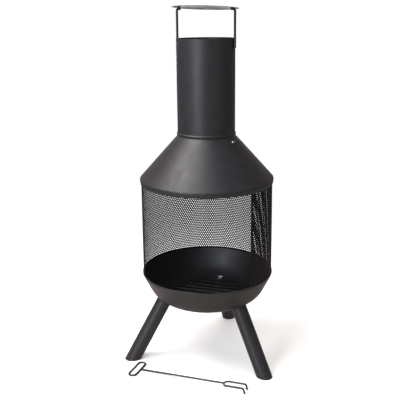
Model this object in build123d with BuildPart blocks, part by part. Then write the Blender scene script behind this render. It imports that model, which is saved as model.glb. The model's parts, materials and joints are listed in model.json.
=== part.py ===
from build123d import *
import os
from math import asin, cos, degrees, radians, sin, sqrt, tan

# Chiminea: a steel fire bowl on three splayed legs, a perforated screen round
# the fire with an open front, a conical hood, a flue pipe and a rain cap, with
# a loose grate in the bowl and a poker lying on the ground in front.
#
# Millimetres, +Z up. The origin is on the ground under the middle of the bowl,
# and the open front faces -Y. A bearing is an angle in degrees from the front,
# growing towards +X.

# Fire bowl: pressed sheet with a short upright lip, a conical wall, a knuckle
# and a shallow domed base
SHEET = 1.5
RIM_RADIUS = 185.2
RIM_HEIGHT = 254.8
LIP = 5.0
WALL_SLOPE = 63.4
WALL_LENGTH = 49.2
KNUCKLE_RADIUS = 67.5
DOME_SLOPE = 24.0
RIM_ROUND = 0.6
THROUGH = 12.0  # length of the cutters for holes through sheet

# Screen round the fire, narrowing a little upwards and open between two
# bearings at the front; its edges are spot-welded in the bowl's lip and the hood
MOUTH_BEARING = 57.2
SCREEN_SHEET = 1.0
SCREEN_BOTTOM = (183.4, 250.9)
SCREEN_TOP = (181.4, 520.0)

# Hood, whose skirt turns in under the shoulder, and flue pipe
SKIRT_RADIUS = 183.3
SKIRT_HEIGHT = 512.3
SHOULDER_RADIUS = 185.3
SHOULDER_HEIGHT = 525.0
SHOULDER_ROUND = 5.0
NECK_RADIUS = 78.6
NECK_HEIGHT = 644.0
PIPE_RADIUS = 78.2
PIPE_SHEET = 1.2
PIPE_BOTTOM = 624.0
PIPE_TOP = 899.5
BEAD_BOTTOM = 644.6
BEAD_HEIGHT = 8.4
BEAD_STAND_OUT = 2.4
FLUE_SCREW_BEARINGS = (70.0, 250.0)
FLUE_SCREW_RADIUS = 89.5

# Rain cap on two bent rods, tipped up towards one bearing
CAP_RADIUS = 88.0
CAP_RISE = 3.0
CAP_SHEET = 1.2
CAP_HEIGHT = 976.8
CAP_TILT = 3.3
CAP_HIGH_BEARING = -16.0
ROD_BEARINGS = {"left": -94.0, "right": 86.0}
ROD_RADIUS = 3.2
ROD_BOTTOM = 875.0
ROD_FOOT = 10.0
ROD_BEND = 4.8
WELD_GAP = 0.05

# Legs: the head of a leg is where its axis meets the outer face of the bowl
LEG_BEARINGS = {"front_left": -56.8, "front_right": 61.3, "rear": 180.0}
LEG_RADIUS = 21.0
LEG_WALL = 1.5
LEG_LEAN = 29.5
LEG_HEAD_RADIUS = 127.0
LEG_LENGTH = 220.0
FOOT_FLANGE = 4.0
FOOT_PLUG = 14.0
PLATE = 3.0
FIT = 0.1

# Fasteners: M6 leg studs with washers and wing nuts, M5 pan screws with nuts
STUD_RADIUS = 3.0
STUD_REACH = 11.5
STUD_HEAD = 4.0
STUD_FLATS = 10.0
STUD_CHAMFER = 0.6
WASHER_SEAT = 1.95
WASHER_RADIUS = 6.5
WASHER_THICKNESS = 1.2
WING_BASE_RADIUS = 5.2
WING_TOP_RADIUS = 4.2
WING_BODY = 6.0
WING_OUTLINE = [(3.2, 1.2), (8.2, 3.8), (11.8, 7.8), (10.7, 11.8), (7.4, 10.7), (3.2, 5.6)]
WING_CORNER = 1.2
WING_THICKNESS = 2.2
WING_BORE = 24.0
SCREW_RADIUS = 2.5
SCREW_LENGTH = 9.5
SCREW_HEAD_RADIUS = 4.6
SCREW_HEAD = 3.0
SCREW_CROWN = 1.8
CROSS_LENGTH = 4.6
CROSS_WIDTH = 1.0
CROSS_DEPTH = 1.5
SCREW_NUT_FLATS = 8.0
SCREW_NUT = 4.0

# Tabs that hold the flue pipe under the hood
TAB_WIDTH = 14.0
TAB_REACH = 21.0
TAB_SHEET = 1.5
TAB_GAP = 0.3

# Grate: a flat plate with parallel slots, resting on the domed base
GRATE_RADIUS = 113.0
GRATE_RIM = 8.0
GRATE_THICKNESS = 4.5
GRATE_CLEARANCE = 0.4
GRATE_ROUND = 1.5
BAR_CHAMFER = 0.7
SLOT_PITCH = 24.5
SLOT_WIDTH = 11.0
SLOT_COUNT = 8

# Poker of round wire: a handle loop, a shaft and a two-pronged fork with its tips
# bent down
WIRE_RADIUS = 2.5
POKER_START = (-150.0, -181.6)
POKER_YAW = -3.2
HANDLE_LENGTH = 74.0
HANDLE_WIDTH = 21.6
HANDLE_ROUND = 9.6
FORK_BASE = 259.3
FORK_REACH = 316.3
FORK_SPACING = 22.8
FORK_SHOULDER = 10.0
FORK_LIFT = 14.6
TIP_BEND = 5.0
TIP_OUT = 4.0


def outward(bearing, rise=0.0):
    """Unit vector that points away from the axis at a bearing, raised by rise degrees."""
    level = cos(radians(rise))
    return Vector(level * sin(radians(bearing)), -level * cos(radians(bearing)), sin(radians(rise)))


def facing(bearing, radius, height, rise=0.0):
    """Plane at a bearing whose normal is outward() and whose X runs round the body."""
    origin = radius * outward(bearing) + Vector(0, 0, height)
    return Plane(origin=origin, x_dir=outward(bearing + 90), z_dir=outward(bearing, rise))


def slice_at(bearing):
    """Upright plane through the axis: X runs outward at the bearing and Y runs up."""
    return Plane(origin=(0, 0, 0), x_dir=outward(bearing), z_dir=outward(bearing - 90))


def save(name, builder):
    """Labels a finished piece and writes it as its own STEP file."""
    builder.part.label = name
    export_step(builder.part, f"parts/{name}.step")


def turned_sheet(skin, thickness, frame=Plane.XY):
    """Sheet of revolution about the frame's Z, from its outer line, thickened inwards."""
    with BuildPart() as shell:
        with BuildSketch(Plane(origin=frame.origin, x_dir=frame.x_dir, z_dir=-frame.y_dir)):
            with BuildLine():
                add(skin)
                offset(amount=thickness, side=Side.RIGHT, closed=True)
            make_face()
        revolve(axis=Axis(frame.origin, frame.z_dir))
    return shell.part


def wire(path, radius):
    """Round wire swept along a path."""
    with BuildPart() as rod:
        with BuildSketch(Plane(origin=path @ 0, z_dir=path % 0)):
            Circle(radius)
        sweep(path=path)
    return rod


os.makedirs("parts", exist_ok=True)

# ---- Fire bowl ----
with BuildLine() as bowl_skin:
    lip = Line((RIM_RADIUS, RIM_HEIGHT), (RIM_RADIUS, RIM_HEIGHT - LIP))
    wall = PolarLine(lip @ 1, WALL_LENGTH, angle=180 + WALL_SLOPE)
    knuckle = JernArc(wall @ 1, wall % 1, KNUCKLE_RADIUS, DOME_SLOPE - WALL_SLOPE)
    dome_radius = (knuckle @ 1).X / sin(radians(DOME_SLOPE))
    dome = JernArc(knuckle @ 1, knuckle % 1, dome_radius, -DOME_SLOPE)
dome_centre = (dome @ 1).Y + dome_radius

# A stud stands square to the bowl where its leg meets it, so it leans inwards
head_height = dome_centre - sqrt(dome_radius**2 - LEG_HEAD_RADIUS**2)
stud_rise = 90 + degrees(asin(LEG_HEAD_RADIUS / dome_radius))
stud_planes = {
    leg: facing(bearing, LEG_HEAD_RADIUS, head_height, stud_rise) for leg, bearing in LEG_BEARINGS.items()
}

with BuildPart() as fire_bowl:
    add(turned_sheet(bowl_skin.line, SHEET))
    rim = fire_bowl.edges().filter_by(GeomType.CIRCLE).group_by(Axis.Z)[-1]
    fillet(rim, radius=RIM_ROUND)
    with Locations(*stud_planes.values()):
        Cylinder(STUD_RADIUS + FIT, THROUGH, mode=Mode.SUBTRACT)
save("fire_bowl", fire_bowl)

# The bowl filled in, which copes the top of each leg to the bowl's outer face
with BuildPart() as bowl_block:
    with BuildSketch(Plane.XZ):
        with BuildLine():
            add(bowl_skin.line)
            Polyline(dome @ 1, (0, RIM_HEIGHT), lip @ 0)
        make_face()
    revolve(axis=Axis.Z)

# ---- Screen ----
mouth_corner = 3 * RIM_RADIUS * outward(MOUTH_BEARING)
with BuildLine() as screen_skin:
    Line(SCREEN_TOP, SCREEN_BOTTOM)
with BuildPart() as mesh_screen:
    add(turned_sheet(screen_skin.line, SCREEN_SHEET))
    with BuildSketch():
        with BuildLine():
            Polyline((0, 0), (mouth_corner.X, mouth_corner.Y), (-mouth_corner.X, mouth_corner.Y), close=True)
        make_face()
    extrude(amount=NECK_HEIGHT, mode=Mode.SUBTRACT)
save("mesh_screen", mesh_screen)

# ---- Hood ----
cone_run = Vector(SHOULDER_RADIUS - NECK_RADIUS, SHOULDER_HEIGHT - NECK_HEIGHT).normalized()
screw_height = NECK_HEIGHT + (FLUE_SCREW_RADIUS - NECK_RADIUS) * cone_run.Y / cone_run.X
screw_rise = degrees(asin(cone_run.X))
screw_planes = [
    facing(bearing, FLUE_SCREW_RADIUS, screw_height, screw_rise) for bearing in FLUE_SCREW_BEARINGS
]
with BuildLine() as hood_skin:
    FilletPolyline(
        (NECK_RADIUS, NECK_HEIGHT),
        (SHOULDER_RADIUS, SHOULDER_HEIGHT),
        (SKIRT_RADIUS, SKIRT_HEIGHT),
        radius=SHOULDER_ROUND,
    )
with BuildPart() as hood:
    add(turned_sheet(hood_skin.line, SHEET))
    Cylinder(NECK_RADIUS, 2 * NECK_HEIGHT, mode=Mode.SUBTRACT)
    with Locations(*screw_planes):
        Cylinder(SCREW_RADIUS + FIT, THROUGH, mode=Mode.SUBTRACT)
save("hood", hood)

# ---- Flue pipe, with a rolled bead that rests on the hood's neck ----
with BuildLine() as pipe_skin:
    Line((PIPE_RADIUS, PIPE_TOP), (PIPE_RADIUS, BEAD_BOTTOM + BEAD_HEIGHT))
    ThreePointArc(
        (PIPE_RADIUS, BEAD_BOTTOM + BEAD_HEIGHT),
        (PIPE_RADIUS + BEAD_STAND_OUT, BEAD_BOTTOM + BEAD_HEIGHT / 2),
        (PIPE_RADIUS, BEAD_BOTTOM),
    )
    Line((PIPE_RADIUS, BEAD_BOTTOM), (PIPE_RADIUS, PIPE_BOTTOM))
with BuildPart() as chimney_pipe:
    add(turned_sheet(pipe_skin.line, PIPE_SHEET))
save("chimney_pipe", chimney_pipe)

# Bent tabs, welded to the pipe's lower end, lie against the cone from inside
cone_inner = Vector(NECK_RADIUS, NECK_HEIGHT) + Vector(cone_run.Y, -cone_run.X) * (SHEET + 2 * TAB_GAP)
tab_knee = cone_inner + cone_run * ((PIPE_RADIUS + TAB_GAP - cone_inner.X) / cone_run.X)
tab_tip = tab_knee + cone_run * TAB_REACH
with BuildPart() as flue_tabs:
    with BuildSketch(*[slice_at(bearing) for bearing in FLUE_SCREW_BEARINGS]):
        with BuildLine():
            Polyline((tab_knee.X, PIPE_BOTTOM + TAB_SHEET), (tab_knee.X, tab_knee.Y), (tab_tip.X, tab_tip.Y))
            offset(amount=TAB_SHEET, side=Side.RIGHT, closed=True)
        make_face()
    extrude(amount=TAB_WIDTH / 2, both=True)
    with Locations(*screw_planes):
        Cylinder(SCREW_RADIUS + FIT, THROUGH, mode=Mode.SUBTRACT)
save("flue_tabs", flue_tabs)

# Pan-head screws with a cross recess go through the cone and the tabs
head_planes = [plane.offset(SCREW_HEAD) for plane in screw_planes]
with BuildPart() as flue_screws:
    with BuildSketch(*screw_planes):
        Circle(SCREW_HEAD_RADIUS)
    extrude(amount=SCREW_HEAD)
    crowns = [
        edge
        for edge in flue_screws.edges().filter_by(GeomType.CIRCLE)
        if any(abs(plane.to_local_coords(edge.arc_center).Z) < FIT for plane in head_planes)
    ]
    fillet(crowns, radius=SCREW_CROWN)
    with BuildSketch(*head_planes):
        Rectangle(CROSS_LENGTH, CROSS_WIDTH)
        Rectangle(CROSS_WIDTH, CROSS_LENGTH)
    extrude(amount=-CROSS_DEPTH, mode=Mode.SUBTRACT)
    with BuildSketch(*screw_planes):
        Circle(SCREW_RADIUS)
    extrude(amount=-SCREW_LENGTH)
save("flue_screws", flue_screws)

nut_seat = SHEET + 2 * TAB_GAP + TAB_SHEET + FIT
with BuildPart() as flue_nuts:
    with BuildSketch(*[plane.offset(-nut_seat) for plane in screw_planes]):
        RegularPolygon(radius=SCREW_NUT_FLATS / 2, side_count=6, major_radius=False)
        Circle(SCREW_RADIUS + FIT, mode=Mode.SUBTRACT)
    extrude(amount=-SCREW_NUT)
save("flue_nuts", flue_nuts)

# ---- Rain cap, a shallow dome that tips up towards the front left ----
cap_curve = (CAP_RADIUS**2 + CAP_RISE**2) / (2 * CAP_RISE)
cap_plane = Plane(
    origin=(0, 0, CAP_HEIGHT),
    x_dir=outward(CAP_HIGH_BEARING + 90),
    z_dir=outward(CAP_HIGH_BEARING + 180, 90 - CAP_TILT),
)
with BuildLine() as cap_skin:
    JernArc((0, CAP_RISE), (1, 0), cap_curve, -degrees(asin(CAP_RADIUS / cap_curve)))
with BuildPart() as rain_cap:
    add(turned_sheet(cap_skin.line, CAP_SHEET, cap_plane))
save("rain_cap", rain_cap)

# Each rod is welded to the outside of the pipe and turns in under the cap. Its
# height follows the cap, which is lowest over the rod where the bend ends
rod_radius = PIPE_RADIUS + ROD_RADIUS + WELD_GAP
foot_radius = rod_radius - ROD_BEND
foot_rise = CAP_RISE - foot_radius**2 / (2 * cap_curve) - CAP_SHEET - ROD_RADIUS - 2 * WELD_GAP
for side, bearing in ROD_BEARINGS.items():
    tip_up = foot_radius * cos(radians(bearing - CAP_HIGH_BEARING)) * tan(radians(CAP_TILT))
    rod_top = CAP_HEIGHT + foot_rise + tip_up
    with BuildLine(slice_at(bearing)) as rod_path:
        FilletPolyline(
            (rod_radius, ROD_BOTTOM),
            (rod_radius, rod_top),
            (rod_radius - ROD_FOOT, rod_top),
            radius=ROD_BEND,
        )
    save(f"cap_rod_{side}", wire(rod_path.line, ROD_RADIUS))

# ---- Legs ----
for leg, bearing in LEG_BEARINGS.items():
    stud_plane = stud_planes[leg]
    leg_plane = facing(bearing, LEG_HEAD_RADIUS, head_height, LEG_LEAN - 90)

    # Tube coped to the bowl and cut level just above the ground
    with BuildPart() as tube:
        with BuildSketch(leg_plane.offset(-LEG_RADIUS)):
            Circle(LEG_RADIUS)
            Circle(LEG_RADIUS - LEG_WALL, mode=Mode.SUBTRACT)
        extrude(amount=LEG_RADIUS + LEG_LENGTH)
        add(bowl_block.part, mode=Mode.SUBTRACT)
        split(bisect_by=Plane.XY.offset(FOOT_FLANGE), keep=Keep.TOP)
    save(f"leg_{leg}", tube)

    # Plastic foot: a flange on the ground and a plug up inside the tube
    with BuildPart() as foot:
        with BuildSketch(leg_plane):
            Circle(LEG_RADIUS)
        extrude(amount=LEG_LENGTH)
        split(bisect_by=Plane.XY.offset(FOOT_FLANGE), keep=Keep.BOTTOM)
        with BuildSketch(leg_plane):
            Circle(LEG_RADIUS - LEG_WALL - FIT)
        extrude(amount=LEG_LENGTH)
        split(bisect_by=Plane.XY.offset(FOOT_FLANGE + FOOT_PLUG), keep=Keep.BOTTOM)
        split(bisect_by=Plane.XY, keep=Keep.TOP)
    save(f"foot_cap_{leg}", foot)

    # Plate welded inside the head of the tube
    with BuildPart() as plate:
        with BuildSketch(leg_plane):
            Circle(LEG_RADIUS - LEG_WALL - FIT)
        extrude(amount=LEG_RADIUS, both=True)
        split(bisect_by=stud_plane.offset(-FIT), keep=Keep.BOTTOM)
        split(bisect_by=stud_plane.offset(-FIT - PLATE), keep=Keep.TOP)
        with Locations(stud_plane):
            Cylinder(STUD_RADIUS + FIT, THROUGH, mode=Mode.SUBTRACT)
    save(f"leg_plate_{leg}", plate)

    with BuildPart() as stud:
        with BuildSketch(stud_plane.offset(-FIT - PLATE)):
            RegularPolygon(radius=STUD_FLATS / 2, side_count=6, major_radius=False)
        extrude(amount=-STUD_HEAD)
        with BuildSketch(stud_plane.offset(-FIT - PLATE)):
            Circle(STUD_RADIUS)
        extrude(amount=FIT + PLATE + STUD_REACH)
        chamfer(stud.edges().filter_by(GeomType.CIRCLE).sort_by(Axis.Z)[-1], length=STUD_CHAMFER)
    save(f"leg_stud_{leg}", stud)

    with BuildPart() as washer:
        with BuildSketch(stud_plane.offset(WASHER_SEAT)):
            Circle(WASHER_RADIUS)
            Circle(STUD_RADIUS + 2 * FIT, mode=Mode.SUBTRACT)
        extrude(amount=WASHER_THICKNESS)
    save(f"washer_{leg}", washer)

    # Wing nut, its wings along the bowl's round so that the grate lifts past them
    nut_plane = stud_plane.offset(WASHER_SEAT + WASHER_THICKNESS)
    wing_plane = Plane(origin=nut_plane.origin, x_dir=nut_plane.x_dir, z_dir=-nut_plane.y_dir)
    with BuildPart() as wing_nut:
        with BuildSketch(nut_plane):
            Circle(WING_BASE_RADIUS)
        with BuildSketch(nut_plane.offset(WING_BODY)):
            Circle(WING_TOP_RADIUS)
        loft()
        with BuildSketch(wing_plane) as wings:
            with BuildLine():
                Polyline(*WING_OUTLINE, close=True)
            make_face()
            fillet(wings.vertices(), radius=WING_CORNER)
            mirror(about=Plane.YZ)
        extrude(amount=WING_THICKNESS / 2, both=True)
        with Locations(nut_plane):
            Cylinder(STUD_RADIUS + FIT, WING_BORE, mode=Mode.SUBTRACT)
    save(f"wing_nut_{leg}", wing_nut)

# ---- Grate ----
seat_radius = dome_radius - SHEET - GRATE_CLEARANCE
grate_bottom = dome_centre - sqrt(seat_radius**2 - GRATE_RADIUS**2)
with BuildPart() as fire_grate:
    with BuildSketch(Plane.XY.offset(grate_bottom)):
        Circle(GRATE_RADIUS)
    extrude(amount=GRATE_THICKNESS)
    fillet(fire_grate.edges().filter_by(GeomType.CIRCLE).group_by(Axis.Z)[-1], radius=GRATE_ROUND)
    with BuildSketch(Plane.XY.offset(grate_bottom)):
        with GridLocations(0, SLOT_PITCH, 1, SLOT_COUNT):
            Rectangle(2 * GRATE_RADIUS, SLOT_WIDTH)
        Circle(GRATE_RADIUS - GRATE_RIM, mode=Mode.INTERSECT)
    extrude(amount=GRATE_THICKNESS, mode=Mode.SUBTRACT)
    slot_tops = fire_grate.faces().filter_by(Axis.Z).sort_by(Axis.Z)[-1].inner_wires()
    chamfer([edge for slot_top in slot_tops for edge in slot_top.edges()], length=BAR_CHAMFER)
save("fire_grate", fire_grate)

# ---- Poker: it rests on its handle loop and on the two bent tips ----
poker_rise = asin((FORK_LIFT - WIRE_RADIUS) / (FORK_REACH + HANDLE_WIDTH / 2))
poker_height = WIRE_RADIUS + HANDLE_WIDTH / 2 * sin(poker_rise)
poker_x = Vector(1, 0, 0).rotate(Axis.Y, -degrees(poker_rise)).rotate(Axis.Z, POKER_YAW)
poker_y = Vector(0, 1, 0).rotate(Axis.Z, POKER_YAW)
poker_plane = Plane(origin=(*POKER_START, poker_height), x_dir=poker_x, z_dir=poker_x.cross(poker_y))

half_width = HANDLE_WIDTH / 2
half_length = HANDLE_LENGTH / 2
with BuildLine(poker_plane) as handle_path:
    FilletPolyline(
        (half_width, -half_length),
        (half_width, half_length),
        (-half_width, half_length),
        (-half_width, -half_length),
        radius=HANDLE_ROUND,
        close=True,
    )
poker_handle = wire(handle_path.line, WIRE_RADIUS)
save("poker_handle", poker_handle)

# The tips run past the ground, which cuts them level
tip_drop = -(FORK_LIFT + WIRE_RADIUS)
with BuildLine(poker_plane) as fork_path:
    FilletPolyline(
        (FORK_REACH + TIP_OUT, FORK_SPACING / 2, tip_drop),
        (FORK_REACH, FORK_SPACING / 2, 0),
        (FORK_BASE, FORK_SPACING / 2, 0),
        (FORK_BASE, -FORK_SPACING / 2, 0),
        (FORK_REACH, -FORK_SPACING / 2, 0),
        (FORK_REACH + TIP_OUT, -FORK_SPACING / 2, tip_drop),
        radius=[TIP_BEND, FORK_SHOULDER, FORK_SHOULDER, TIP_BEND],
    )
with BuildPart() as poker_fork:
    add(wire(fork_path.line, WIRE_RADIUS).part)
    split(bisect_by=Plane.XY, keep=Keep.TOP)
save("poker_fork", poker_fork)

# Both ends of the shaft are shaped to the wires that they are welded to
shaft_start = poker_plane.from_local_coords((half_width, 0, 0))
with BuildPart() as poker_shaft:
    with BuildSketch(Plane(origin=shaft_start, z_dir=poker_x)):
        Circle(WIRE_RADIUS)
    extrude(amount=FORK_BASE - half_width)
    add(poker_handle.part, mode=Mode.SUBTRACT)
    add(poker_fork.part, mode=Mode.SUBTRACT)
save("poker_shaft", poker_shaft)
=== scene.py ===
# %% [markdown]
# # A steel chiminea
# A chiminea is a garden stove: a pressed bowl holds the fire, a perforated screen
# keeps the sparks in, and a conical hood gathers the smoke into a flue pipe. The
# measured model already fixes every size and every place. This lesson adds what
# the eye asks for: sprayed paint, punched holes, threads, castings and welds.

import json
import math

import bmesh
import bpy
from mathutils import Matrix, Vector


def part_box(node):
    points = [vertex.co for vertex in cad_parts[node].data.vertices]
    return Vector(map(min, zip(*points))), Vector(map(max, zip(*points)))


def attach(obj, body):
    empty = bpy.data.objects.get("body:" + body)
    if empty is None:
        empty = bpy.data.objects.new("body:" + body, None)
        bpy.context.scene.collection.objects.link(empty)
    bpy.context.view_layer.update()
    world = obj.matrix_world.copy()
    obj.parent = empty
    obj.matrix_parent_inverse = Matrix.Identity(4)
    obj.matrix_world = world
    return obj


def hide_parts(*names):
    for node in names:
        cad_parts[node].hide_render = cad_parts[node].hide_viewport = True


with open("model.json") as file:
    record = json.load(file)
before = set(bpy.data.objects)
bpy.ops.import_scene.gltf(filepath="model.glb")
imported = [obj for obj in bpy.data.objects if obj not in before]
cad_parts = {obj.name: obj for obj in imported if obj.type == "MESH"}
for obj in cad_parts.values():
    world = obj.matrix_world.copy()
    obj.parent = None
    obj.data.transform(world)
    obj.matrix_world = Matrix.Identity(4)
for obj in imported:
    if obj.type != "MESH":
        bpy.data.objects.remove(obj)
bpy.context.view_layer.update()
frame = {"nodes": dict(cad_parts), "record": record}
nodes = frame["nodes"]

# %% [markdown]
# ## Places and directions
# Sizes are easier to read in millimetres, and Blender's unit here is the metre.
# A place round the stove is a bearing, counted from the open front, which looks
# along -Y, towards the right. Places are read off the measured pieces, so that
# nothing has to be fitted by eye.

# %% Millimetres, bearings and measured rings
MM = 0.001


def outward(bearing, rise=0.0):
    """Unit vector that points away from the stove's axis, raised by rise degrees."""
    turn, lift = math.radians(bearing), math.radians(rise)
    return Vector((math.sin(turn) * math.cos(lift), -math.cos(turn) * math.cos(lift), math.sin(lift)))


def ring_radius(node, height, reach=2 * MM):
    """Largest distance from the axis of the vertices that lie near a height."""
    near = [v.co for v in nodes[node].data.vertices if abs(v.co.z - height) < reach]
    return max(math.hypot(p.x, p.y) for p in near)


bowl_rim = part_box("fire_bowl")[1].z
skirt_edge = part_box("hood")[0].z
print(f"bowl rim at {bowl_rim:.4f} m, skirt edge at {skirt_edge:.4f} m")

# %% [markdown]
# ## Colour and nodes
# Colours are written as sRGB hex values, as on a paint maker's card. Shaders work
# in linear light, so one function converts them. One more function adds a shader
# node with its settings and links, which keeps each material short enough to read,
# and another starts a material with no nodes in it.

# %% Hex colours and the node helper


def linear(hex_colour):
    """sRGB hex to a linear RGBA tuple."""
    parts = [int(hex_colour[i:i + 2], 16) / 255 for i in (1, 3, 5)]
    return (*(c / 12.92 if c <= 0.04045 else ((c + 0.055) / 1.055) ** 2.4 for c in parts), 1.0)


def add_node(tree, kind, settings=None, links=None):
    """Adds a node. Settings are properties or input values, and links feed inputs."""
    node = tree.nodes.new(kind)
    for key, value in (settings or {}).items():
        if isinstance(key, int) or key in node.inputs:
            node.inputs[key].default_value = value
        else:
            setattr(node, key, value)
    for key, source in (links or {}).items():
        tree.links.new(source, node.inputs[key])
    return node


def scale_for(size_mm):
    """Noise scale whose features are about size_mm wide."""
    return 1 / (size_mm * MM)


def empty_material(name):
    """A new material without nodes, and its node tree."""
    material = bpy.data.materials.new(name)
    material.use_nodes = True
    material.node_tree.nodes.clear()
    return material, material.node_tree


# %% [markdown]
# ## Sprayed stove paint
# The sheet parts are mild steel, sprayed with a matt to satin silicone paint that
# stands the heat and baked. The eye reads four things in it: a fine orange peel
# from the drying droplets, cloudy patches from overlapping passes of the gun, a
# slow waviness of the rolled sheet under it, and a thin paler line along sharp
# edges. That line is partly where the coat draws back from the edge and partly a
# painted highlight, standing in for the light that rounded rims catch. An image
# texture would need pictures and UV maps.
# Noise in the object's own space needs neither, and never stretches.

# %% Stove paint on sheet steel
PAINT_IOR = 1.5
# Share of the paler colour on sharp edges: partly the thin coat there, partly a painted highlight.
EDGE_RADIUS = 0.9 * MM
EDGE_THIN_COAT_AND_HIGHLIGHT_SHARE = 0.55
SHEET_WAVE_MM = 90
SHEET_WAVE_DEPTH = 0.9 * MM
SPECKLE_TO_PEEL = 2.5


def stove_paint(name, colour, edge_thin_coat_and_highlight, roughness, peel_mm, cloud_mm, depth, mirror=0.5):
    """Silicone stove paint, sprayed and baked: a resin, so its IOR is 1.5.

    colour is the thick and the thin coat, worn is the paler colour on edges, partly
    the thin coat there and partly a painted highlight, peel_mm and cloud_mm are the
    widths of its droplets and patches, depth is the droplets' height in millimetres,
    and mirror is how clearly it mirrors, 0.5 for a closed skin.
    """
    material, tree = empty_material(name)
    place = add_node(tree, "ShaderNodeTexCoord").outputs["Object"]

    # Cloudy patches: the coat is a little thinner and glossier between gun passes
    cloud = add_node(tree, "ShaderNodeTexNoise",
                     {"Scale": scale_for(cloud_mm), "Detail": 3.0, "Roughness": 0.55}, {"Vector": place})
    speckle = add_node(tree, "ShaderNodeTexNoise",
                       {"Scale": scale_for(SPECKLE_TO_PEEL * peel_mm), "Detail": 2.0, "Roughness": 0.6},
                       {"Vector": place})
    tone = add_node(tree, "ShaderNodeMix", {"data_type": "RGBA", 0: 0.5},
                    {6: cloud.outputs["Color"], 7: speckle.outputs["Color"]})
    base = add_node(tree, "ShaderNodeValToRGB", None, {"Fac": tone.outputs[2]})
    base.color_ramp.elements[0].position = 0.32
    base.color_ramp.elements[0].color = linear(colour[0])
    base.color_ramp.elements[1].position = 0.68
    base.color_ramp.elements[1].color = linear(colour[1])

    # Sharp edges: a rounded normal differs from the true one only beside an edge
    rounded = add_node(tree, "ShaderNodeBevel", {"samples": 4, "Radius": EDGE_RADIUS})
    true_normal = add_node(tree, "ShaderNodeNewGeometry").outputs["Normal"]
    flat = add_node(tree, "ShaderNodeVectorMath", {"operation": "DOT_PRODUCT"},
                    {0: rounded.outputs["Normal"], 1: true_normal})
    edge = add_node(tree, "ShaderNodeMapRange",
                    {"From Min": 0.97, "From Max": 0.75, "To Min": 0.0, "To Max": EDGE_THIN_COAT_AND_HIGHLIGHT_SHARE},
                    {"Value": flat.outputs["Value"]})
    # Paler colour on sharp edges: partly the coat drawing back from them, partly a painted highlight for
    # the light that rounded rims catch.
    coat = add_node(tree, "ShaderNodeMix", {"data_type": "RGBA", 7: linear(edge_thin_coat_and_highlight)},
                    {0: edge.outputs["Result"], 6: base.outputs["Color"]})

    shine = add_node(tree, "ShaderNodeMapRange",
                     {"From Min": 0.3, "From Max": 0.7,
                      "To Min": roughness - 0.04, "To Max": roughness + 0.05},
                     {"Value": cloud.outputs["Fac"]})

    # Heights: orange peel on the coat, and the slow waves of the sheet under it
    peel = add_node(tree, "ShaderNodeTexNoise",
                    {"Scale": scale_for(peel_mm), "Detail": 3.0, "Roughness": 0.5}, {"Vector": place})
    wave = add_node(tree, "ShaderNodeTexNoise",
                    {"Scale": scale_for(SHEET_WAVE_MM), "Detail": 1.0}, {"Vector": place})
    sheet = add_node(tree, "ShaderNodeBump", {"Strength": 0.35, "Distance": SHEET_WAVE_DEPTH},
                     {"Height": wave.outputs["Fac"]})
    skin = add_node(tree, "ShaderNodeBump", {"Strength": 0.5, "Distance": depth * MM},
                    {"Height": peel.outputs["Fac"], "Normal": sheet.outputs["Normal"]})

    shader = add_node(tree, "ShaderNodeBsdfPrincipled", {"IOR": PAINT_IOR, "Specular IOR Level": mirror},
                      {"Base Color": coat.outputs[2], "Roughness": shine.outputs["Result"],
                       "Normal": skin.outputs["Normal"]})
    add_node(tree, "ShaderNodeOutputMaterial", None, {"Surface": shader.outputs["BSDF"]})
    print("material", name)
    return material


black_stove_paint = stove_paint("stove_paint_satin_black", ("#161518", "#201f22"), "#5b5754",
                                0.5, 1.4, 26, 0.09)

# %% [markdown]
# The same paint looks different on thin pieces. On the punched screen it pools at
# the edges of the holes, stays rougher and mirrors little. On drawn wire it lies
# smoother. So both get their own mix of the same recipe. The leg tubes are drawn
# over a mandrel before painting, and take the same satin coat as the hood.

# %% Stove paint on the screen and on the wires
screen_stove_paint = stove_paint("stove_paint_punched_sheet", ("#100f0e", "#181716"), "#3a3735",
                                 0.62, 0.9, 18, 0.06, 0.12)
wire_stove_paint = stove_paint("stove_paint_drawn_wire", ("#121111", "#1a1919"), "#403d3b",
                               0.45, 0.8, 12, 0.04)

# %% [markdown]
# ## Matt paint on cast iron
# The grate lies in the fire, so it is cast iron with a high-temperature coat. Sand
# casting leaves a grain of about a millimetre. The coat fills most of it, so the
# bars look a little deeper in grain than the sheet parts, with smaller patches.

# %% Cast iron with a matt coat
cast_iron_matt = stove_paint("cast_iron_matt_black", ("#111111", "#1c1b1a"), "#47433f",
                             0.45, 1.1, 14, 0.1)

# %% [markdown]
# ## Bright zinc plate
# The studs, washers and nuts are steel with bright zinc plate. It is a real metal
# surface: full metallic, a pale blue-grey, and rubbed with fine marks from the
# tumbling barrel. The marks are about a tenth of a millimetre wide on the real
# thing and are drawn at a quarter, so that they show at all.

# %% Zinc-plated steel


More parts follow.
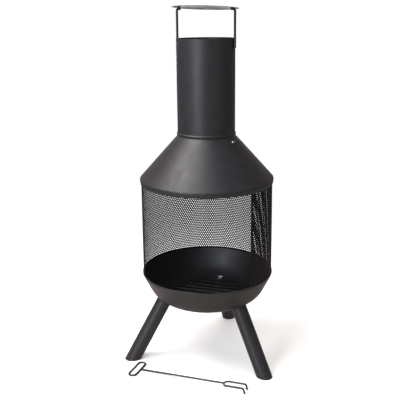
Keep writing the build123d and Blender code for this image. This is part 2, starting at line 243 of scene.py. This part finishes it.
def plated_steel(name, colour, roughness, mark_mm):
    """Steel with a thin metal finish. A metal keeps the default IOR."""
    material, tree = empty_material(name)
    place = add_node(tree, "ShaderNodeTexCoord").outputs["Object"]
    marks = add_node(tree, "ShaderNodeTexNoise",
                     {"Scale": scale_for(mark_mm), "Detail": 4.0, "Roughness": 0.7, "Distortion": 1.5},
                     {"Vector": place})
    stain = add_node(tree, "ShaderNodeTexNoise", {"Scale": scale_for(5), "Detail": 2.0},
                     {"Vector": place})
    tint = add_node(tree, "ShaderNodeValToRGB", None, {"Fac": stain.outputs["Fac"]})
    tint.color_ramp.elements[0].position = 0.3
    tint.color_ramp.elements[0].color = linear(colour[0])
    tint.color_ramp.elements[1].position = 0.7
    tint.color_ramp.elements[1].color = linear(colour[1])
    shine = add_node(tree, "ShaderNodeMapRange",
                     {"From Min": 0.3, "From Max": 0.7,
                      "To Min": roughness - 0.08, "To Max": roughness + 0.12},
                     {"Value": marks.outputs["Fac"]})
    dents = add_node(tree, "ShaderNodeBump", {"Strength": 0.4, "Distance": 0.05 * MM},
                     {"Height": marks.outputs["Fac"]})
    shader = add_node(tree, "ShaderNodeBsdfPrincipled", {"Metallic": 1.0},
                      {"Base Color": tint.outputs["Color"], "Roughness": shine.outputs["Result"],
                       "Normal": dents.outputs["Normal"]})
    add_node(tree, "ShaderNodeOutputMaterial", None, {"Surface": shader.outputs["BSDF"]})
    print("material", name)
    return material


bright_zinc = plated_steel("steel_bright_zinc_plate", ("#c6c8cb", "#e0e1e2"), 0.24, 0.25)

# %% [markdown]
# ## Moulded polypropylene
# The feet are plugs of black polypropylene, moulded in a spark-eroded mould that
# leaves a fine, even matt grain. It is a soft black with a wide, weak shine.

# %% Moulded polypropylene
POLYPROPYLENE_IOR = 1.49
polypropylene, tree = empty_material("polypropylene_moulded_black")
place = add_node(tree, "ShaderNodeTexCoord").outputs["Object"]
grain = add_node(tree, "ShaderNodeTexNoise", {"Scale": scale_for(0.6), "Detail": 2.0}, {"Vector": place})
scuff = add_node(tree, "ShaderNodeTexNoise", {"Scale": scale_for(7), "Detail": 3.0}, {"Vector": place})
scuffed = add_node(tree, "ShaderNodeValToRGB", None, {"Fac": scuff.outputs["Fac"]})
scuffed.color_ramp.elements[0].position = 0.4
scuffed.color_ramp.elements[0].color = linear("#151515")
scuffed.color_ramp.elements[1].position = 0.75
scuffed.color_ramp.elements[1].color = linear("#262626")
mould = add_node(tree, "ShaderNodeBump", {"Strength": 0.5, "Distance": 0.08 * MM},
                 {"Height": grain.outputs["Fac"]})
shader = add_node(tree, "ShaderNodeBsdfPrincipled", {"IOR": POLYPROPYLENE_IOR, "Roughness": 0.6},
                  {"Base Color": scuffed.outputs["Color"], "Normal": mould.outputs["Normal"]})
add_node(tree, "ShaderNodeOutputMaterial", None, {"Surface": shader.outputs["BSDF"]})
print("material", polypropylene.name)

# %% [markdown]
# ## Finishes on the measured pieces
# Every measured piece names a finish in its record. One table turns that name into
# a material, so a piece can't be forgotten.

# %% Give each measured piece its finish
FINISHES = {
    "black_paint": black_stove_paint,
    "screen_paint": screen_stove_paint,
    "wire_paint": wire_stove_paint,
    "grate_paint": cast_iron_matt,
    "zinc": bright_zinc,
    "foot_plastic": polypropylene,
}
for subpart in frame["record"]["subparts"]:
    for slot in nodes[subpart["node"]].material_slots:
        slot.material = FINISHES[subpart["material_slot"]]


def add_piece(name, mesh, slot, body="stove"):
    """Puts a mesh in the scene as a piece with a finish, riding on a body."""
    piece = bpy.data.objects.new(name, mesh)
    bpy.context.scene.collection.objects.link(piece)
    mesh.materials.append(FINISHES[slot])
    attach(piece, body)
    print(f"{name}: {len(mesh.polygons)} faces")
    return piece


# %% [markdown]
# ## The perforated screen
# The screen is one sheet, punched flat with round holes in staggered rows, rolled
# into a drum and spot-welded into the bowl's lip and the hood's skirt. A picture of
# holes would show no thickness, and cutting thousands of cylinders out of a sheet
# is slow. A staggered pattern has a better way: each hole is a ring of twelve
# points, strips join it to its six neighbours, and a small triangle fills each gap
# between three holes. The sheet is built flat and then rolled, as the real one is.

# %% Size of the sheet and of its pattern
HOLE_PITCH = 6.6 * MM
HOLE_RADIUS = 1.74 * MM
ROW_PITCH = HOLE_PITCH * math.sqrt(3) / 2
HOLE_SIDES = 12
SHEET_THICKNESS = 0.5 * MM
PLAIN_EDGE = 7 * MM
ABOVE_BOWL = 1.9 * HOLE_RADIUS
BELOW_SKIRT = 1.2 * HOLE_RADIUS

screen_low, screen_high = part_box("mesh_screen")
radius_low = ring_radius("mesh_screen", screen_low.z)
radius_high = ring_radius("mesh_screen", screen_high.z)
mouth_bearing = math.degrees(math.acos(-screen_low.y / radius_low))
sheet_height = screen_high.z - screen_low.z
sheet_sweep = 360 - 2 * mouth_bearing
sheet_length = math.radians(sheet_sweep) * (radius_low + radius_high) / 2
print(f"screen: {sheet_length:.3f} x {sheet_height:.3f} m, open {mouth_bearing:.1f} degrees each side")

# %% Rows and columns of holes
lowest_row = bowl_rim + ABOVE_BOWL - screen_low.z
highest_row = skirt_edge - BELOW_SKIRT - screen_low.z
row_count = 2 * int((highest_row - lowest_row) / ROW_PITCH / 2) + 1
column_count = int((sheet_length - 2 * PLAIN_EDGE) / HOLE_PITCH) + 1
first_column = (sheet_length - (column_count - 1) * HOLE_PITCH) / 2
points = []
holes = {}
for row in range(row_count):
    shift = row % 2
    for column in range(column_count - shift):
        holes[row, column] = len(points)
        across = first_column + (column + shift / 2) * HOLE_PITCH
        up = lowest_row + row * ROW_PITCH
        for side in range(HOLE_SIDES):
            turn = math.tau * side / HOLE_SIDES
            points.append((across + HOLE_RADIUS * math.cos(turn), up + HOLE_RADIUS * math.sin(turn)))
print(f"holes: {len(holes)} in {row_count} rows")

# %% [markdown]
# A hole's points are numbered anticlockwise from the right, 30 degrees apart. A
# neighbour in direction d sees points d-1, d and d+1 of this hole and the opposite
# three of its own, so one function makes the strip between any two neighbours.

# %% Metal between the holes
faces = []


def strip(near, far, direction):
    """Two quads between a hole and its neighbour, which lies in direction x 30 degrees."""
    for step in (-1, 0):
        near_right, near_left = (direction + step) % HOLE_SIDES, (direction + step + 1) % HOLE_SIDES
        far_right, far_left = (direction + 6 - step) % HOLE_SIDES, (direction + 5 - step) % HOLE_SIDES
        faces.append((near + near_right, far + far_right, far + far_left, near + near_left))


for (row, column), hole in holes.items():
    shift = row % 2
    beside = holes.get((row, column + 1))
    above_right = holes.get((row + 1, column + shift))
    above_left = holes.get((row + 1, column + shift - 1))
    if beside is not None:
        strip(hole, beside, 0)
    if above_right is not None:
        strip(hole, above_right, 2)
    if above_left is not None:
        strip(hole, above_left, 4)
    if beside is not None and above_right is not None:
        faces.append((hole + 1, beside + 5, above_right + 9))
    if above_left is not None and above_right is not None:
        faces.append((hole + 3, above_right + 7, above_left + 11))
print("faces between holes:", len(faces))

# %% [markdown]
# The outermost points are joined straight out to the sheet's four edges, which
# gives the plain border that stiffens a punched sheet.

# %% Plain border
last_row, last_column = row_count - 1, column_count - 1


def border(inner, place_on_edge, flip):
    """Joins a run of the pattern's outer points to their places on an edge of the sheet."""
    edge = []
    for point in inner:
        edge.append(len(points))
        points.append(place_on_edge(*points[point]))
    for a, b, c, d in zip(edge, edge[1:], inner[1:], inner):
        faces.append((a, b, c, d) if flip else (d, c, b, a))
    return edge[0], edge[-1]


def run_along(row, sides):
    """Outer points of one row, from the first hole's middle to the last one's."""
    run = [holes[row, column] + side for column in range(column_count) for side in sides]
    return run[2:-2]


def run_up(end, long_sides, short_sides):
    """Outer points at one end of all the rows, from the bottom up."""
    run = []
    for row in range(row_count):
        column = 0 if end == 0 else last_column - row % 2
        run += [holes[row, column] + side for side in (short_sides if row % 2 else long_sides)]
    return run


bottom = run_along(0, (7, 8, 9, 10, 11))
top = run_along(last_row, (5, 4, 3, 2, 1))
left = run_up(0, (9, 8, 7, 6, 5, 4, 3), (7, 6, 5))
right = run_up(last_column, (9, 10, 11, 0, 1, 2, 3), (11, 0, 1))
bottom_ends = border(bottom, lambda across, up: (across, 0.0), True)
top_ends = border(top, lambda across, up: (across, sheet_height), False)
left_ends = border(left, lambda across, up: (0.0, up), False)
right_ends = border(right, lambda across, up: (sheet_length, up), True)
corner = len(points)
points += [(0.0, 0.0), (sheet_length, 0.0), (sheet_length, sheet_height), (0.0, sheet_height)]
faces += [
    (corner, bottom_ends[0], bottom[0], left_ends[0]),
    (bottom_ends[1], corner + 1, right_ends[0], bottom[-1]),
    (top[-1], right_ends[1], corner + 2, top_ends[1]),
    (left_ends[1], top[0], top_ends[0], corner + 3),
]
print("faces in the flat sheet:", len(faces))

# %% Roll the sheet and give it its thickness


def roll(across, up):
    """Place on the rolled drum of a point on the flat sheet."""
    radius = radius_low + (radius_high - radius_low) * up / sheet_height
    place = radius * outward(mouth_bearing + sheet_sweep * across / sheet_length)
    return place.x, place.y, screen_low.z + up


screen_mesh = bpy.data.meshes.new("perforated_screen")
screen_mesh.from_pydata([roll(*point) for point in points], [], faces)
perforated_screen = add_piece("perforated_screen", screen_mesh, "screen_paint")
thicken = perforated_screen.modifiers.new("sheet", "SOLIDIFY")
thicken.thickness = SHEET_THICKNESS
thicken.offset = -1.0
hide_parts("mesh_screen")

# %% [markdown]
# ## Threads
# Each leg is held by an M6 stud. Its thread is a ridge that climbs 1 mm a turn,
# so the surface is a cylinder whose radius depends only on height minus turn. That
# is one formula over a grid of points: a screw modifier would need a profile
# object, and a picture of a thread would show a smooth edge against the light.

# %% Where a stud stands
LEGS = ("front_left", "front_right", "rear")


def seat_of(node):
    """Middle and axis of a flat round piece: its vertices' middle and its upper faces' normal."""
    mesh = nodes[node].data
    middle = sum((v.co for v in mesh.vertices), Vector()) / len(mesh.vertices)
    upper = [f for f in mesh.polygons if f.normal.z > 0.8]
    axis = sum((f.normal * f.area for f in upper), Vector()).normalized()
    return middle, axis


def along(node, middle, axis):
    """Lowest and highest distance of a piece's vertices along an axis from a point."""
    reach = [(v.co - middle).dot(axis) for v in nodes[node].data.vertices]
    return min(reach), max(reach)


# %% Threaded studs
THREAD_PITCH = 1.0 * MM
THREAD_RADIUS = 3.0 * MM
THREAD_DEPTH = 0.5 * MM
THREAD_SIDES = 28
STEPS_A_TURN = 8
HEAD_HEIGHT = 4.0 * MM
HEAD_FLATS = 10.0 * MM


def thread_mesh(name, middle, axis, low, high):
    """Hexagon head from low up, and a threaded shank from there to high, with a coned tip."""
    frame_of_stud = Matrix.Translation(middle) @ axis.to_track_quat("Z", "Y").to_matrix().to_4x4()
    mesh = bmesh.new()
    head_radius = HEAD_FLATS / math.sqrt(3)
    bmesh.ops.create_cone(mesh, cap_ends=True, segments=6, radius1=head_radius, radius2=head_radius,
                          depth=HEAD_HEIGHT, matrix=Matrix.Translation((0, 0, low + HEAD_HEIGHT / 2)))
    rings = []
    step = THREAD_PITCH / STEPS_A_TURN
    shank = high - low - HEAD_HEIGHT
    for level in range(int(shank / step) + 1):
        height = low + HEAD_HEIGHT + level * step
        tip = min(THREAD_DEPTH, max(0.0, height - (high - THREAD_DEPTH)))
        ring = []
        for side in range(THREAD_SIDES):
            phase = (height / THREAD_PITCH - side / THREAD_SIDES) % 1.0
            groove = THREAD_DEPTH * (1 - abs(2 * phase - 1))
            radius = min(THREAD_RADIUS - groove, THREAD_RADIUS - tip)
            turn = math.tau * side / THREAD_SIDES
            ring.append(mesh.verts.new((radius * math.cos(turn), radius * math.sin(turn), height)))
        rings.append(ring)
    for lower, upper in zip(rings, rings[1:]):
        for side in range(THREAD_SIDES):
            beside = (side + 1) % THREAD_SIDES
            mesh.faces.new((lower[side], lower[beside], upper[beside], upper[side]))
    mesh.faces.new(list(reversed(rings[0])))
    mesh.faces.new(rings[-1])
    mesh.transform(frame_of_stud)
    shape = bpy.data.meshes.new(name)
    mesh.to_mesh(shape)
    mesh.free()
    return shape


for leg in LEGS:
    middle, axis = seat_of(f"washer_{leg}")
    low, high = along(f"leg_stud_{leg}", middle, axis)
    name = f"threaded_stud_{leg}"
    stud = add_piece(name, thread_mesh(name, middle, axis, low, high), "zinc")
    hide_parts(f"leg_stud_{leg}")

# %% [markdown]
# ## Cast wing nuts
# A wing nut is cast in one piece, so its wings grow out of the body in soft
# fillets. The measured one is a plain cone with flat wings. Melting its skin into
# small even cells and then smoothing them rounds every inner corner, as the
# pattern maker's wax does, and keeps the measured size.

# %% Melt and smooth the wing nuts
CELL = 0.34 * MM
SMOOTHING_PASSES = 5
for leg in LEGS:
    source = nodes[f"wing_nut_{leg}"]
    melt = bpy.data.objects.new("melt", source.data.copy())
    bpy.context.scene.collection.objects.link(melt)
    cells = melt.modifiers.new("cells", "REMESH")
    cells.mode = "VOXEL"
    cells.voxel_size = CELL
    soften = melt.modifiers.new("soften", "SMOOTH")
    soften.factor = 0.5
    soften.iterations = SMOOTHING_PASSES
    bpy.context.view_layer.update()
    shape = bpy.data.meshes.new_from_object(melt.evaluated_get(bpy.context.evaluated_depsgraph_get()))
    bpy.data.objects.remove(melt)
    shape.name = f"cast_wing_nut_{leg}"
    shape.materials.clear()
    for face in shape.polygons:
        face.use_smooth = True
    wing_nut = add_piece(f"cast_wing_nut_{leg}", shape, "zinc")
    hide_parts(f"wing_nut_{leg}")

# %% [markdown]
# ## Welds
# The rods are welded to the pipe and under the cap, and the poker is three wires
# welded together. A weld is a row of small overlapping pools, so its bead swells
# and narrows about once a millimetre. It is a tube along a short path whose radius
# ripples and closes at both ends. It is painted over with the rest.

# %% A weld bead
RIPPLE = 1.1 * MM
RIPPLE_SWELL = 0.14
BEAD_SIDES = 10


def weld_bead(name, path, radius, slot, body="stove"):
    """Bead along evenly spaced points that tapers to a close at both ends."""
    mesh = bmesh.new()
    rings = []
    count = len(path)
    run = 0.0
    for index, point in enumerate(path):
        before, after = path[max(index - 1, 0)], path[min(index + 1, count - 1)]
        turn = (after - before).to_track_quat("Z", "Y").to_matrix()
        run += (point - path[index - 1]).length if index else 0.0
        swell = 1 + RIPPLE_SWELL * math.cos(math.tau * run / RIPPLE)
        taper = math.sqrt(max(0.02, 1 - (2 * index / (count - 1) - 1) ** 6))
        ring = []
        for side in range(BEAD_SIDES):
            angle = math.tau * side / BEAD_SIDES
            arm = Vector((math.cos(angle), math.sin(angle), 0)) * radius * swell * taper
            ring.append(mesh.verts.new(point + turn @ arm))
        rings.append(ring)
    for lower, upper in zip(rings, rings[1:]):
        for side in range(BEAD_SIDES):
            beside = (side + 1) % BEAD_SIDES
            mesh.faces.new((lower[side], lower[beside], upper[beside], upper[side]))
    mesh.faces.new(list(reversed(rings[0])))
    mesh.faces.new(rings[-1])
    bmesh.ops.recalc_face_normals(mesh, faces=mesh.faces)
    for face in mesh.faces:
        face.smooth = True
    shape = bpy.data.meshes.new(name)
    mesh.to_mesh(shape)
    mesh.free()
    return add_piece(name, shape, slot, body)


def straight(start, end, gap=0.28 * MM):
    """Evenly spaced points from start to end."""
    count = max(3, int((end - start).length / gap))
    return [start.lerp(end, step / count) for step in range(count + 1)]


# %% [markdown]
# Each rod touches the pipe along a line and takes a fillet on both sides of it. The
# fillets run where the rod and the pipe draw together, a little off their line of
# touch.

# %% Welds of the rods
FILLET = 0.34  # radius of the bead, as a share of the rod's
FILLET_OFF = 0.62  # how far beside the line of touch, as a share of the rod's radius
FILLET_OUT = 0.1  # how far out from the pipe, as a share of the rod's radius
FILLET_BELOW_TOP = 2 * MM
FILLET_ABOVE_FOOT = 1.5 * MM

pipe_radius = ring_radius("chimney_pipe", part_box("chimney_pipe")[1].z - 1 * MM)
pipe_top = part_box("chimney_pipe")[1].z
for side in ("left", "right"):
    low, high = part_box(f"cap_rod_{side}")
    foot = [v.co for v in nodes[f"cap_rod_{side}"].data.vertices if v.co.z < low.z + 1 * MM]
    centre = sum(foot, Vector()) / len(foot)
    rod_radius = math.hypot(centre.x, centre.y) - pipe_radius
    bearing = math.degrees(math.atan2(centre.x, -centre.y))
    for hand in (-1, 1):
        off = math.degrees(FILLET_OFF * rod_radius / pipe_radius) * hand
        groove = outward(bearing + off) * (pipe_radius + FILLET_OUT * rod_radius)
        bottom = groove + Vector((0, 0, low.z + FILLET_ABOVE_FOOT))
        top = groove + Vector((0, 0, pipe_top - FILLET_BELOW_TOP))
        name = f"weld_rod_{side}_{'a' if hand < 0 else 'b'}"
        weld_bead(name, straight(bottom, top), FILLET * rod_radius, "wire_paint")

# %% [markdown]
# The poker's handle and fork meet the shaft end on, so each joint has one weld over
# the top of it. Underneath it stays flush, so that the poker lies flat.

# %% Welds of the poker
POKER_WELD = 0.36  # radius of the bead, as a share of the wire's
POKER_WELD_IN = 0.3  # how far in from the shaft's end, as a share of the wire's radius
POKER_WELD_OUT = 0.95  # how far out from the shaft's axis, as a share of the wire's radius
WELD_START, WELD_SWEEP, WELD_STEPS = -30, 240, 36

shaft = nodes["poker_shaft"].data.vertices
shaft_low = min(shaft, key=lambda v: v.co.x).co
shaft_high = max(shaft, key=lambda v: v.co.x).co
ends = []
for extreme in (shaft_low, shaft_high):
    near = [v.co for v in shaft if abs(v.co.x - extreme.x) < 3 * MM]
    ends.append(sum(near, Vector()) / len(near))
shaft_axis = (ends[1] - ends[0]).normalized()
shaft_turn = shaft_axis.to_track_quat("Z", "Y").to_matrix()
wire_radius = max(((v.co - ends[0]).cross(shaft_axis)).length for v in shaft)
for joint, end, inwards in (("handle", ends[0], 1), ("fork", ends[1], -1)):
    middle = end + shaft_axis * inwards * POKER_WELD_IN * wire_radius
    ring = [middle + shaft_turn @ Vector((math.cos(a), math.sin(a), 0)) * wire_radius * POKER_WELD_OUT
            for a in (math.radians(WELD_START + WELD_SWEEP * step / WELD_STEPS)
                      for step in range(WELD_STEPS + 1))]
    weld_bead(f"weld_poker_{joint}", ring, POKER_WELD * wire_radius, "wire_paint", "poker")
print(f"poker wire radius {wire_radius / MM:.2f} mm")

# %% [markdown]
# The pipe is rolled from a strip and seam-welded up its back, where it isn't seen
# from the front. The weld is ground nearly flush, so only a low, narrow ridge is
# left under the paint.

# %% Seam of the pipe
SEAM_RADIUS = 1.2 * MM
SEAM_PROUD = 0.35 * MM
seam_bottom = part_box("hood")[1].z + 10 * MM
seam = outward(180) * (pipe_radius - SEAM_RADIUS + SEAM_PROUD)
weld_bead("weld_pipe_seam", straight(seam + Vector((0, 0, seam_bottom)),
                                     seam + Vector((0, 0, pipe_top - 1 * MM)), 0.55 * MM),
          SEAM_RADIUS, "black_paint")

# %% [markdown]
# ## Floor
# A sheet of white paper, large enough to run out of sight. Away from the stove it
# glows as much as the room does, so that no horizon shows.

# %% Floor
FLOOR_HALF = 30.0
PAPER_SEEN = (0.88, 0.875, 0.87, 1)
PAPER_MIRRORED = (0.46, 0.41, 0.38, 1)  # what the dark paint gets back from the paper
FADE_START, FADE_END = 0.3, 1.5
GLOW_MIRRORED, GLOW_SEEN = 0.2, 1.0
floor_mesh = bpy.data.meshes.new("floor")
floor_mesh.from_pydata([(-FLOOR_HALF, -FLOOR_HALF, 0), (FLOOR_HALF, -FLOOR_HALF, 0),
                        (FLOOR_HALF, FLOOR_HALF, 0), (-FLOOR_HALF, FLOOR_HALF, 0)], [], [(0, 1, 2, 3)])
floor = bpy.data.objects.new("floor", floor_mesh)
bpy.context.scene.collection.objects.link(floor)
paper, tree = empty_material("white_paper")
place = add_node(tree, "ShaderNodeTexCoord").outputs["Object"]
reach = add_node(tree, "ShaderNodeVectorMath", {"operation": "LENGTH"}, {0: place})
fade = add_node(tree, "ShaderNodeMapRange",
                {"interpolation_type": "SMOOTHSTEP", "From Min": FADE_START, "From Max": FADE_END},
                {"Value": reach.outputs["Value"]})
seen = add_node(tree, "ShaderNodeLightPath").outputs["Is Camera Ray"]
paper_tone = add_node(tree, "ShaderNodeMix", {"data_type": "RGBA", 6: PAPER_MIRRORED, 7: PAPER_SEEN},
                      {0: seen})
near = add_node(tree, "ShaderNodeBsdfDiffuse", None, {"Color": paper_tone.outputs[2]})
glow = add_node(tree, "ShaderNodeMapRange", {"To Min": GLOW_MIRRORED, "To Max": GLOW_SEEN}, {"Value": seen})
far = add_node(tree, "ShaderNodeEmission", {"Color": (1, 1, 1, 1)}, {"Strength": glow.outputs["Result"]})
sweep = add_node(tree, "ShaderNodeMixShader", None,
                 {0: fade.outputs["Result"], 1: near.outputs["BSDF"], 2: far.outputs["Emission"]})
add_node(tree, "ShaderNodeOutputMaterial", None, {"Surface": sweep.outputs["Shader"]})
floor_mesh.materials.append(paper)

# %% [markdown]
# ## Light
# Black satin paint is seen by what it mirrors, so the lamps are placed by the
# highlights that they make: a tall softbox at the front left draws the upright
# highlight on the pipe and the glow in the bowl, a high one at the left lights the
# hood, a flat one behind shines along the underside of the cap, and a weak one fills
# the right. The paint mirrors a dimmer room than the one that lights the paper.

# %% Room
CAMERA_BEARING = 18.04
ROOM_LIGHT, ROOM_STRENGTH = (1.0, 0.97, 0.94, 1), 1.07
ROOM_MIRRORED = (1.0, 0.87, 0.86, 1)
MIRRORED_RIGHT, MIRRORED_LEFT, MIRRORED_BACK = 0.1, 0.23, 0.4
world = bpy.data.worlds.new("studio")
bpy.context.scene.world = world
world.use_nodes = True
tree = world.node_tree
tree.nodes.clear()
direction = add_node(tree, "ShaderNodeTexCoord").outputs["Generated"]
right_part = add_node(tree, "ShaderNodeVectorMath", {"operation": "DOT_PRODUCT",
                                                     1: outward(CAMERA_BEARING + 90)}, {0: direction})
back_part = add_node(tree, "ShaderNodeVectorMath", {"operation": "DOT_PRODUCT",
                                                    1: outward(CAMERA_BEARING + 180)}, {0: direction})
side_light = add_node(tree, "ShaderNodeMapRange",
                      {"From Min": 0.1, "From Max": -1.0,
                       "To Min": MIRRORED_RIGHT, "To Max": MIRRORED_LEFT},
                      {"Value": right_part.outputs["Value"]})
back_light = add_node(tree, "ShaderNodeMapRange",
                      {"From Min": 0.4, "From Max": 1.0, "To Min": 0.0, "To Max": MIRRORED_BACK},
                      {"Value": back_part.outputs["Value"]})
both = add_node(tree, "ShaderNodeMath", {"operation": "ADD"},
                {0: side_light.outputs["Result"], 1: back_light.outputs["Result"]})
mirrored = add_node(tree, "ShaderNodeBackground", {"Color": ROOM_MIRRORED},
                    {"Strength": both.outputs["Value"]})
white = add_node(tree, "ShaderNodeBackground", {"Color": ROOM_LIGHT, "Strength": ROOM_STRENGTH})
glossy = add_node(tree, "ShaderNodeLightPath").outputs["Is Glossy Ray"]
room = add_node(tree, "ShaderNodeMixShader", None,
                {0: glossy, 1: white.outputs["Background"], 2: mirrored.outputs["Background"]})
add_node(tree, "ShaderNodeOutputWorld", None, {"Surface": room.outputs["Shader"]})

# %% Softboxes


def softbox(name, bearing, rise, distance, size, power, colour, aim=0.6):
    """Area lamp at a bearing and a rise, seen from a point on the axis, that faces that point."""
    lamp = bpy.data.lights.new(name, "AREA")
    lamp.shape = "RECTANGLE"
    lamp.size, lamp.size_y = size
    lamp.energy = power
    lamp.color = colour
    holder = bpy.data.objects.new(name, lamp)
    bpy.context.scene.collection.objects.link(holder)
    place = outward(bearing, rise) * distance
    holder.location = place + Vector((0, 0, aim))
    holder.rotation_euler = (-place).to_track_quat("-Z", "Y").to_euler()
    holder.visible_camera = False
    print(f"softbox {name} at {tuple(round(v, 2) for v in holder.location)}")


softbox("front_left", CAMERA_BEARING - 33, rise=12, distance=2.4,
        size=(0.45, 1.7), power=40, colour=(0.84, 0.89, 1.0))
softbox("high_left", CAMERA_BEARING - 72, rise=58, distance=2.0,
        size=(1.3, 1.4), power=63, colour=(1.0, 0.97, 0.97))
softbox("behind", CAMERA_BEARING + 180, rise=0, distance=1.6,
        size=(1.0, 0.22), power=7, colour=(1.0, 0.97, 0.93), aim=0.79)
softbox("right_fill", CAMERA_BEARING + 40, rise=14, distance=2.6,
        size=(0.4, 1.5), power=3, colour=(0.95, 0.97, 1.0))

# %% [markdown]
# ## Camera
# The camera stands to the right of the open front, a little above the hood, and
# looks slightly down.

# %% Camera
CAMERA_DISTANCE = 1.7904
CAMERA_HEIGHT = 0.9607
CAMERA_PITCH, CAMERA_ROLL, CAMERA_YAW = (math.radians(a) for a in (15.676, -0.599, -0.617))
FOCAL_LENGTH = 59.68

turn = Matrix.Rotation(math.radians(CAMERA_BEARING), 3, "Z")
ahead = turn @ Vector((math.sin(CAMERA_YAW) * math.cos(CAMERA_PITCH),
                       math.cos(CAMERA_YAW) * math.cos(CAMERA_PITCH), -math.sin(CAMERA_PITCH)))
level = turn @ Vector((math.cos(CAMERA_YAW), -math.sin(CAMERA_YAW), 0))
above = level.cross(ahead)
camera_x = level * math.cos(CAMERA_ROLL) + above * math.sin(CAMERA_ROLL)
camera_y = above * math.cos(CAMERA_ROLL) - level * math.sin(CAMERA_ROLL)
lens = bpy.data.cameras.new("camera")
lens.lens = FOCAL_LENGTH
lens.sensor_width = 36.0
lens.dof.use_dof = False
camera = bpy.data.objects.new("camera", lens)
bpy.context.scene.collection.objects.link(camera)
axes = Matrix((camera_x, camera_y, -ahead)).transposed().to_4x4()
camera.matrix_world = Matrix.Translation(outward(CAMERA_BEARING) * CAMERA_DISTANCE
                                         + Vector((0, 0, CAMERA_HEIGHT))) @ axes
bpy.context.scene.camera = camera
bpy.context.scene.view_settings.view_transform = "Standard"
print("camera at", tuple(round(v, 3) for v in camera.location))
